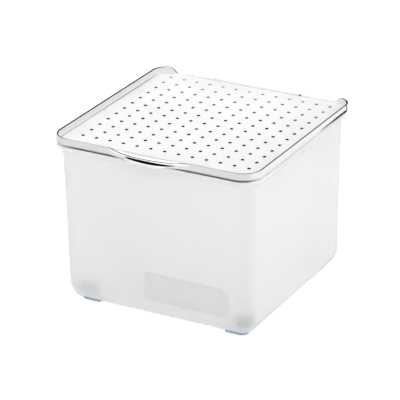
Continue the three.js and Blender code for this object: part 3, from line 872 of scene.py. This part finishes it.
def edge_lines(ob):
    """Painted dark edge-line, painted shade and milk strengths at each vertex of the lid, from its place."""
    me = ob.data
    names = ("edge_line", "shade", "milk", "under", "outer", "pull")
    vals = {k: np.zeros(len(me.vertices), np.float32) for k in names}
    dot_rows = {DOT_NY - 1: 0.52, DOT_NY - 2: 0.68, DOT_NY - 3: 0.8, DOT_NY - 4: 0.88, DOT_NY - 5: 0.94}
    for v in me.vertices:
        x, y, z = v.co.x / MM, v.co.y / MM, v.co.z / MM - H
        hx, yf, yr = HALF, FRONT, REAR
        r = RF if y < 0 else RR
        qx = abs(x) - (hx - r)
        qy = (yf + r) - y if y < 0 else y - (yr - r)
        inset = r - math.hypot(max(qx, 0), max(qy, 0)) - min(max(qx, qy), 0.0)
        in_lip = y < FRONT + 12 and abs(x) < LIP_HALF
        inset_in = y - (FRONT - bow(x, LIP_IN)) if in_lip else inset
        inset_out = y - (FRONT + LID_INSET - bow(x, OUT)) if in_lip else inset - LID_INSET
        h = border(x, y)
        zz = z / h if z > 0 else z
        left = smooth((-x - 90) / 30.0)
        right = smooth((x - 90) / 30.0)
        front = smooth((FRONT + 12 - y) / 8.0)
        back = smooth((y - (REAR - 30)) / 12.0)
        stand = smooth((h - 0.05) / 0.2)
        w = shade = milk = 0.0
        if inset < 6.5 and z > 0.02 and y < REAR + 0.5:
            milk = 0.55 + 0.2 * stand
            corner = smooth((abs(x) - 98) / 12.0)
            in_pull = in_lip and bow(x, 1.0) > 0.02
            # painted dark line along the border's inner top edge and round the inside of the pull
            if inset_in > 3.5 and in_pull and inset < 3.34 and y > FRONT + 0.5:
                w = 0.5
            elif inset_in < 3.5 and zz > 7.78:
                start = 1.9 * left * (1 - front) + 1.3 * right + 1.6 * max(front, 1 - left - right) * (1 - right)
                if in_pull:
                    start = 1.2
                if inset_in > start:
                    w = 1.0 if in_pull else 1.0 - 0.45 * front * (1 - corner)
                    arc = back * (1 - smooth((abs(x) - 117) / 12.0)) * smooth((abs(x) - 110) / 6.0)
                    w *= stand * (1 - (0.75 if x < 0 else 0.5) * arc)
            shade = stand * (0.36 * left * (1 - front) * (1 - back) + 0.21 * front + 0.14 * right * (1 - back) * (1 - front) + 0.3 * back)
            if inset_out < 1.5:  # the outer wall
                shade = stand * (0.35 * front + 0.17 * right * (1 - front) + 0.12 * left * (1 - front) + 0.08 * back)
            if in_pull and inset_out >= 1.5:  # painted highlight: the top of the pull is pale
                pale = smooth(bow(x, 1.0) / 0.35)
                shade *= 1 - pale
                milk += (0.9 - milk) * pale
            shade += 0.2 * back * (1 - stand)
            if inset_in > 4.5 and not in_pull:
                crease = 0.62 + 0.3 * smooth((y + 60) / 120.0)
                shade = stand * ((crease if 4.6 < inset < 5.8 else 0.1) * left * (1 - front) * (1 - 0.7 * back) + 0.06 + 0.2 * back)
        if in_lip and z > LIP_UNDER + 0.06:
            if inset_out < 1.5:
                vals["pull"][v.index] = 1.0
        elif inset < LID_INSET + 1.5 and z > -2.15 and y < REAR + 0.5 and not (in_lip and z > LIP_UNDER - 0.1):
            vals["outer"][v.index] = 1.0
        if -0.1 < z <= 0.02 and inset > 6.0 or (z <= -LID_PLATE + 0.1 and inset > 6.0 and y < REAR - 5):
            milk, shade = 0.5, 0.0 + 0.07 * smooth((x - 20) / 100.0)
        if -2.3 < z <= 0.02 and inset < 6.0:
            milk = 0.6
            shade = 0.38 * front + 0.12 * right * (1 - front)
        if y > REAR + 0.5:
            milk, shade = 0.6, 0.26
        # dots: painted dark on each dome, fainter in the rows towards the rear
        if z > 0.02 and inset > 8:
            i = x / DOT_PX + (DOT_NX - 1) / 2
            j = (y - CY) / DOT_PY + (DOT_NY - 1) / 2
            rr_ = math.hypot((i - round(i)) * DOT_PX, (j - round(j)) * DOT_PY)
            w = 0.0 if rr_ > 2.18 else dot_rows.get(round(j), 1.0)
            if round(j) == DOT_NY - 1:
                w += 0.22 * smooth((x - 50) / 40.0)
            milk, shade = 0.5, 0.03
            vals["under"][v.index] = w
        # painted dark on the pull's underside, shown only from inside the plastic
        if in_lip and LIP_UNDER - 0.1 < z < LIP_UNDER + 0.12 and y < FRONT - 1.0:
            vals["under"][v.index] = 0.25
        vals["edge_line"][v.index] = w
        vals["shade"][v.index] = shade
        vals["milk"][v.index] = milk
    for k in names:
        me.attributes.new(k, "FLOAT", "POINT").data.foreach_set("value", vals[k])


def paint_tub_shade(ob):
    """Painted shade at each vertex of the tub: round the corners, towards the bottom, on the right wall, under the
    pull and on the hinge lugs, with a painted light line at the fine step near the foot.
    """
    me = ob.data
    val = np.zeros(len(me.vertices), np.float32)
    for v in me.vertices:
        x, y, z = v.co.x / MM, v.co.y / MM, v.co.z / MM
        hx, yf, yr, r, _ = wall_spec(z, 0.0)
        qx = abs(x) - (hx - r)
        qy = (yf + r) - y if y < CY - 10 else y - (yr - r)
        if z < H - 9.5:
            # painted shade round the corners of the wall, stronger low down
            if qx > -2 and qy > -2:
                a = math.atan2(max(qy, 0.0), max(qx, 0.0))
                t = math.sin(2 * a)
                low = smooth((BASE + 75 - z) / 75.0)
                val[v.index] = 0.1 * t + 0.06 * t * low
            # painted shade towards the bottom of the wall, and on the right wall
            val[v.index] += 0.05 * smooth((BASE + 30 - z) / 28.0)
            if x > hx - 0.5:
                val[v.index] += 0.04
            # the pull's soft shade on the wall below it
            if y < CY - 120:
                s = min(1.0, abs(x) / 56.0)
                val[v.index] += 0.17 * (1 - s * s) * smooth((z - (H - 23)) / 7.0)
        # painted shade on the hinge lugs
        elif y > REAR + 0.5:
            val[v.index] = 0.2
        # painted light line along the fine step at the foot of the wall, between two painted darker ones
        if abs(z - BASE - 8.63) < 0.12:
            val[v.index] *= 0.2
        elif 0.4 < abs(z - BASE - 8.63) < 1.0:
            val[v.index] += 0.06
    me.attributes.new("painted_tub_shade", "FLOAT", "POINT").data.foreach_set("value", val)


frosted, clear, rubber, film, steel = frosted_plastic(), clear_plastic(), foot_elastomer(), label_film(), pin_steel()
paint(tub, frosted)
paint_tub_shade(tub)
paint(lid, clear)
edge_lines(lid)
paint(label, film)
for pad, node in feet:
    paint(pad, rubber)
for pin, node in pins:
    paint(pin, steel)

# -------------------------------------------------------------- ride, with the imported parts hidden
for ob, body, node, slot in (
    [(tub, "bin", "bin_body", "frosted_plastic"), (lid, "lid", "lid", "clear_plastic"), (label, "bin", "label_panel", "label_film")]
    + [(pad, "bin", node, "foot_elastomer") for pad, node in feet]
    + [(pin, "bin", node, "pin_steel") for pin, node in pins]
):
    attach(ob, body)
    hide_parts(node)

# ------------------------------------------------------------- floor and light
floor = new_object("floor", [(-6000, -6000, 0), (6000, -6000, 0), (6000, 6000, 0), (-6000, 6000, 0)], [(0, 1, 2, 3)])
floor.location.z = -0.0002
paint(floor, floor_material())

world = bpy.data.worlds.new("studio")
bpy.context.scene.world = world
world.use_nodes = True
wt = world.node_tree
wt.nodes.clear()
wout = wt.nodes.new("ShaderNodeOutputWorld")
bg = wt.nodes.new("ShaderNodeBackground")
wc = wt.nodes.new("ShaderNodeTexCoord")
dot = wt.nodes.new("ShaderNodeVectorMath")
dot.operation = "DOT_PRODUCT"
dot.inputs[1].default_value = Vector((0.75, 0.35, 0.55)).normalized()
wt.links.new(wc.outputs["Generated"], dot.inputs[0])
mr = wt.nodes.new("ShaderNodeMapRange")
mr.inputs["From Min"].default_value = -1.0
mr.inputs["From Max"].default_value = 1.0
mr.inputs["To Min"].default_value = 1.02
mr.inputs["To Max"].default_value = 1.36
wt.links.new(dot.outputs["Value"], mr.inputs["Value"])
bg.inputs["Color"].default_value = (1.0, 1.0, 1.0, 1.0)
wt.links.new(mr.outputs["Result"], bg.inputs["Strength"])
wt.links.new(bg.outputs[0], wout.inputs["Surface"])


def softbox(name, loc, target, size, power):
    d = bpy.data.lights.new(name, "AREA")
    d.shape = "RECTANGLE"
    d.size, d.size_y = size
    d.energy = power
    o = bpy.data.objects.new(name, d)
    bpy.context.scene.collection.objects.link(o)
    o.location = loc
    o.rotation_mode = "QUATERNION"
    o.rotation_quaternion = (Vector(target) - Vector(loc)).to_track_quat("-Z", "Y")
    return o


softbox("softbox_top", (0.35, 0.25, 1.9), (0, 0, 0.1), (1.6, 1.6), 9.0)

# ---------------------------------------------------------------------- camera
RIGHT = Vector((0.878564803, 0.477493058, -0.011147521))
DOWN = Vector((0.184548263, -0.360902094, -0.914161702))
FWD = Vector((-0.44052903, 0.80109304, -0.405196391))
cam_data = bpy.data.cameras.new("camera")
cam_data.sensor_width = 36.0
cam_data.lens = 2374.814 / 400.0 * 36.0
cam_data.clip_start, cam_data.clip_end = 0.1, 50.0
cam = bpy.data.objects.new("camera", cam_data)
bpy.context.scene.collection.objects.link(cam)
place = Matrix.Identity(4)
for k in range(3):
    place[k][0], place[k][1], place[k][2] = RIGHT[k], -DOWN[k], -FWD[k]
place[0][3], place[1][3], place[2][3] = 1.234468, (CY - 2267.2396) * MM, (H + 1042.8982) * MM
cam.matrix_world = place
bpy.context.scene.camera = cam

scene = bpy.context.scene
scene.view_settings.view_transform = "Standard"
scene.view_settings.look = "None"
scene.view_settings.exposure = 0.0
scene.view_settings.gamma = 1.0
